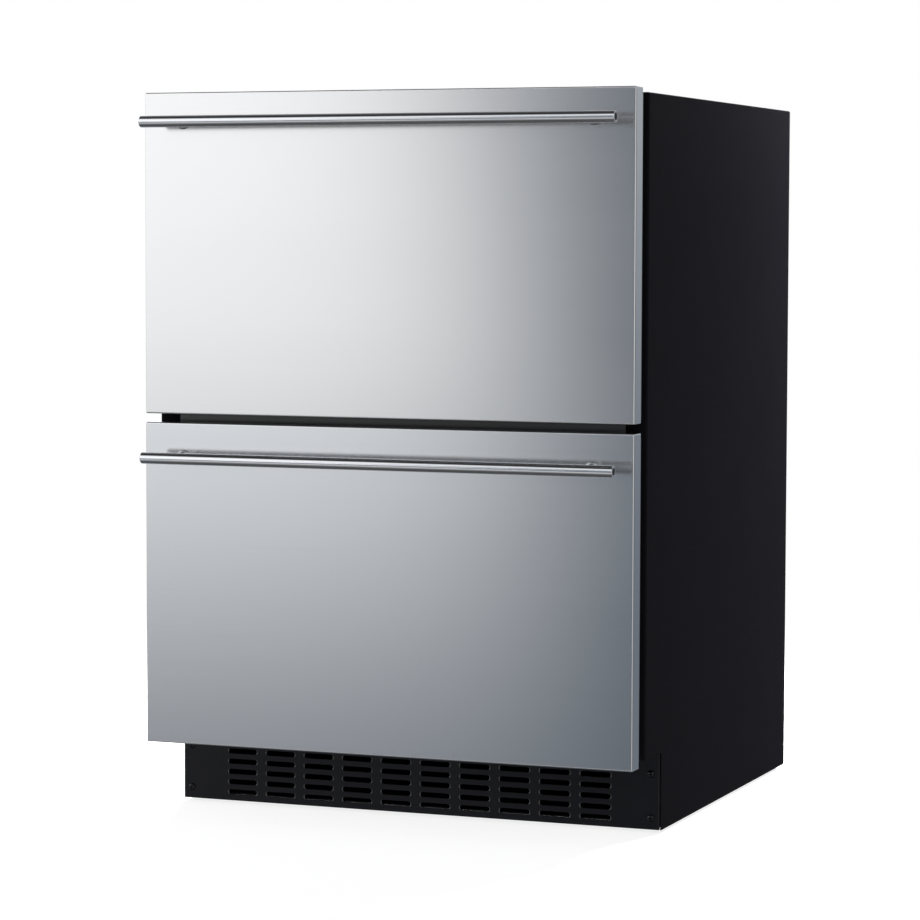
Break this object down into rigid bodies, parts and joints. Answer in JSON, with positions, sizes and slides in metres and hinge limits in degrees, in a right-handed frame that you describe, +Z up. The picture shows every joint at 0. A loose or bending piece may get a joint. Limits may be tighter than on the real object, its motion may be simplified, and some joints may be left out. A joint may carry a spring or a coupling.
{
  "type": "undercounter drawer refrigerator",
  "caption": "Black undercounter refrigerator with stacked pull-out stainless steel drawers, bar handles and a slotted kick plate.",
  "frame": {"origin": "centre of the base on the floor, under the middle of the overall box with the handles", "axes": "+Z up, -Y the way the drawers pull out, +X to the right when facing them"},
  "size_m": [0.6, 0.6618, 0.842],
  "materials": {
    "stainless_front": "satin",
    "handle_steel": "satin",
    "black_paint": "satin",
    "black_plastic": "matte",
    "galvanised_sheet": "satin",
    "slide_zinc": "satin",
    "door_seal": "matte",
    "liner_plastic": "satin",
    "bin_plastic": "satin",
    "foam": "matte",
    "mullion_grey": "matte",
    "compressor_black": "satin",
    "copper_tube": "satin",
    "fin_aluminium": "satin",
    "lamp_lens": "satin",
    "screw_steel": "satin",
    "foot_plastic": "matte",
    "button_white": "satin"
  },
  "bodies": {
    "cabinet": {"outer_cabinet": "black_paint", "back_panel": "galvanised_sheet", "machine_partition": "black_paint", "inner_liner": "liner_plastic", "insulation": "foam", "centre_mullion": "mullion_grey", "rear_cover": "galvanised_sheet", "power_inlet": "black_plastic", "base_pan": "black_paint", "kick_plate": "black_paint", "compressor": "compressor_black", "condenser": "fin_aluminium", "refrigerant_line": "copper_tube", "drain_pan": "black_plastic", "condenser_fan_frame": "black_plastic", "evaporator": "fin_aluminium", "evaporator_cover": "liner_plastic", "evaporator_fan_frame": "black_plastic", "control_housing": "black_plastic", "lamp": "lamp_lens", "kick_screw_lower_left": "screw_steel", "lower_slide_cabinet_left": "slide_zinc", "kick_screw_lower_right": "screw_steel", "lower_slide_cabinet_right": "slide_zinc", "kick_screw_upper_left": "screw_steel", "upper_slide_cabinet_left": "slide_zinc", "kick_screw_upper_right": "screw_steel", "upper_slide_cabinet_right": "slide_zinc"},
    "upper_drawer": {"upper_front_skin": "stainless_front", "upper_inner_panel": "black_plastic", "upper_gasket": "door_seal", "upper_handle_bar": "handle_steel", "upper_handle_post_left": "handle_steel", "upper_handle_post_right": "handle_steel", "upper_bin": "bin_plastic", "upper_slide_drawer_left": "slide_zinc", "upper_slide_drawer_right": "slide_zinc"},
    "upper_slide_middle_left": {"upper_slide_middle_left": "slide_zinc"},
    "upper_slide_middle_right": {"upper_slide_middle_right": "slide_zinc"},
    "lower_drawer": {"lower_front_skin": "stainless_front", "lower_inner_panel": "black_plastic", "lower_gasket": "door_seal", "lower_handle_bar": "handle_steel", "lower_handle_post_left": "handle_steel", "lower_handle_post_right": "handle_steel", "lower_bin": "bin_plastic", "lower_slide_drawer_left": "slide_zinc", "lower_slide_drawer_right": "slide_zinc"},
    "lower_slide_middle_left": {"lower_slide_middle_left": "slide_zinc"},
    "lower_slide_middle_right": {"lower_slide_middle_right": "slide_zinc"},
    "levelling_foot_front_left": {"levelling_foot_front_left": "foot_plastic"},
    "levelling_foot_front_right": {"levelling_foot_front_right": "foot_plastic"},
    "levelling_foot_rear_left": {"levelling_foot_rear_left": "foot_plastic"},
    "levelling_foot_rear_right": {"levelling_foot_rear_right": "foot_plastic"},
    "control_button_1": {"control_button_1": "button_white"},
    "control_button_2": {"control_button_2": "button_white"},
    "control_button_3": {"control_button_3": "button_white"},
    "condenser_fan_blade": {"condenser_fan_blade": "black_plastic"},
    "evaporator_fan_blade": {"evaporator_fan_blade": "black_plastic"}
  },
  "joints": [
    {"name": "upper_drawer_slide", "type": "slide", "parent": "cabinet", "child": "upper_drawer", "axis": [0, -1, 0], "range_m": [0, 0.43]},
    {"name": "upper_slide_middle_left_travel", "type": "slide", "parent": "cabinet", "child": "upper_slide_middle_left", "axis": [0, -1, 0], "range_m": [0, 0.215]},
    {"name": "upper_slide_middle_right_travel", "type": "slide", "parent": "cabinet", "child": "upper_slide_middle_right", "axis": [0, -1, 0], "range_m": [0, 0.215]},
    {"name": "lower_drawer_slide", "type": "slide", "parent": "cabinet", "child": "lower_drawer", "axis": [0, -1, 0], "range_m": [0, 0.34]},
    {"name": "lower_slide_middle_left_travel", "type": "slide", "parent": "cabinet", "child": "lower_slide_middle_left", "axis": [0, -1, 0], "range_m": [0, 0.17]},
    {"name": "lower_slide_middle_right_travel", "type": "slide", "parent": "cabinet", "child": "lower_slide_middle_right", "axis": [0, -1, 0], "range_m": [0, 0.17]},
    {"name": "levelling_foot_front_left_screw", "type": "slide", "parent": "cabinet", "child": "levelling_foot_front_left", "axis": [0, 0, -1], "range_m": [0, 0.02]},
    {"name": "levelling_foot_front_right_screw", "type": "slide", "parent": "cabinet", "child": "levelling_foot_front_right", "axis": [0, 0, -1], "range_m": [0, 0.02]},
    {"name": "levelling_foot_rear_left_screw", "type": "slide", "parent": "cabinet", "child": "levelling_foot_rear_left", "axis": [0, 0, -1], "range_m": [0, 0.02]},
    {"name": "levelling_foot_rear_right_screw", "type": "slide", "parent": "cabinet", "child": "levelling_foot_rear_right", "axis": [0, 0, -1], "range_m": [0, 0.02]},
    {"name": "control_button_1_press", "type": "slide", "parent": "cabinet", "child": "control_button_1", "axis": [0, 1, 0], "range_m": [0, 0.0012], "stiffness_N_per_m": 400},
    {"name": "control_button_2_press", "type": "slide", "parent": "cabinet", "child": "control_button_2", "axis": [0, 1, 0], "range_m": [0, 0.0012], "stiffness_N_per_m": 400},
    {"name": "control_button_3_press", "type": "slide", "parent": "cabinet", "child": "control_button_3", "axis": [0, 1, 0], "range_m": [0, 0.0012], "stiffness_N_per_m": 400},
    {"name": "condenser_fan_spin", "type": "hinge", "parent": "cabinet", "child": "condenser_fan_blade", "pos_m": [-0.141, 0.25278, 0.0778], "axis": [1, 0, 0], "continuous": true},
    {"name": "evaporator_fan_spin", "type": "hinge", "parent": "cabinet", "child": "evaporator_fan_blade", "pos_m": [0, 0.24017, 0.748], "axis": [0, -1, 0], "continuous": true}
  ],
  "couplings": [
    {"joint": "upper_slide_middle_left_travel", "follows": "upper_drawer_slide", "ratio": 0.5},
    {"joint": "upper_slide_middle_right_travel", "follows": "upper_drawer_slide", "ratio": 0.5},
    {"joint": "lower_slide_middle_left_travel", "follows": "lower_drawer_slide", "ratio": 0.5},
    {"joint": "lower_slide_middle_right_travel", "follows": "lower_drawer_slide", "ratio": 0.5}
  ]
}
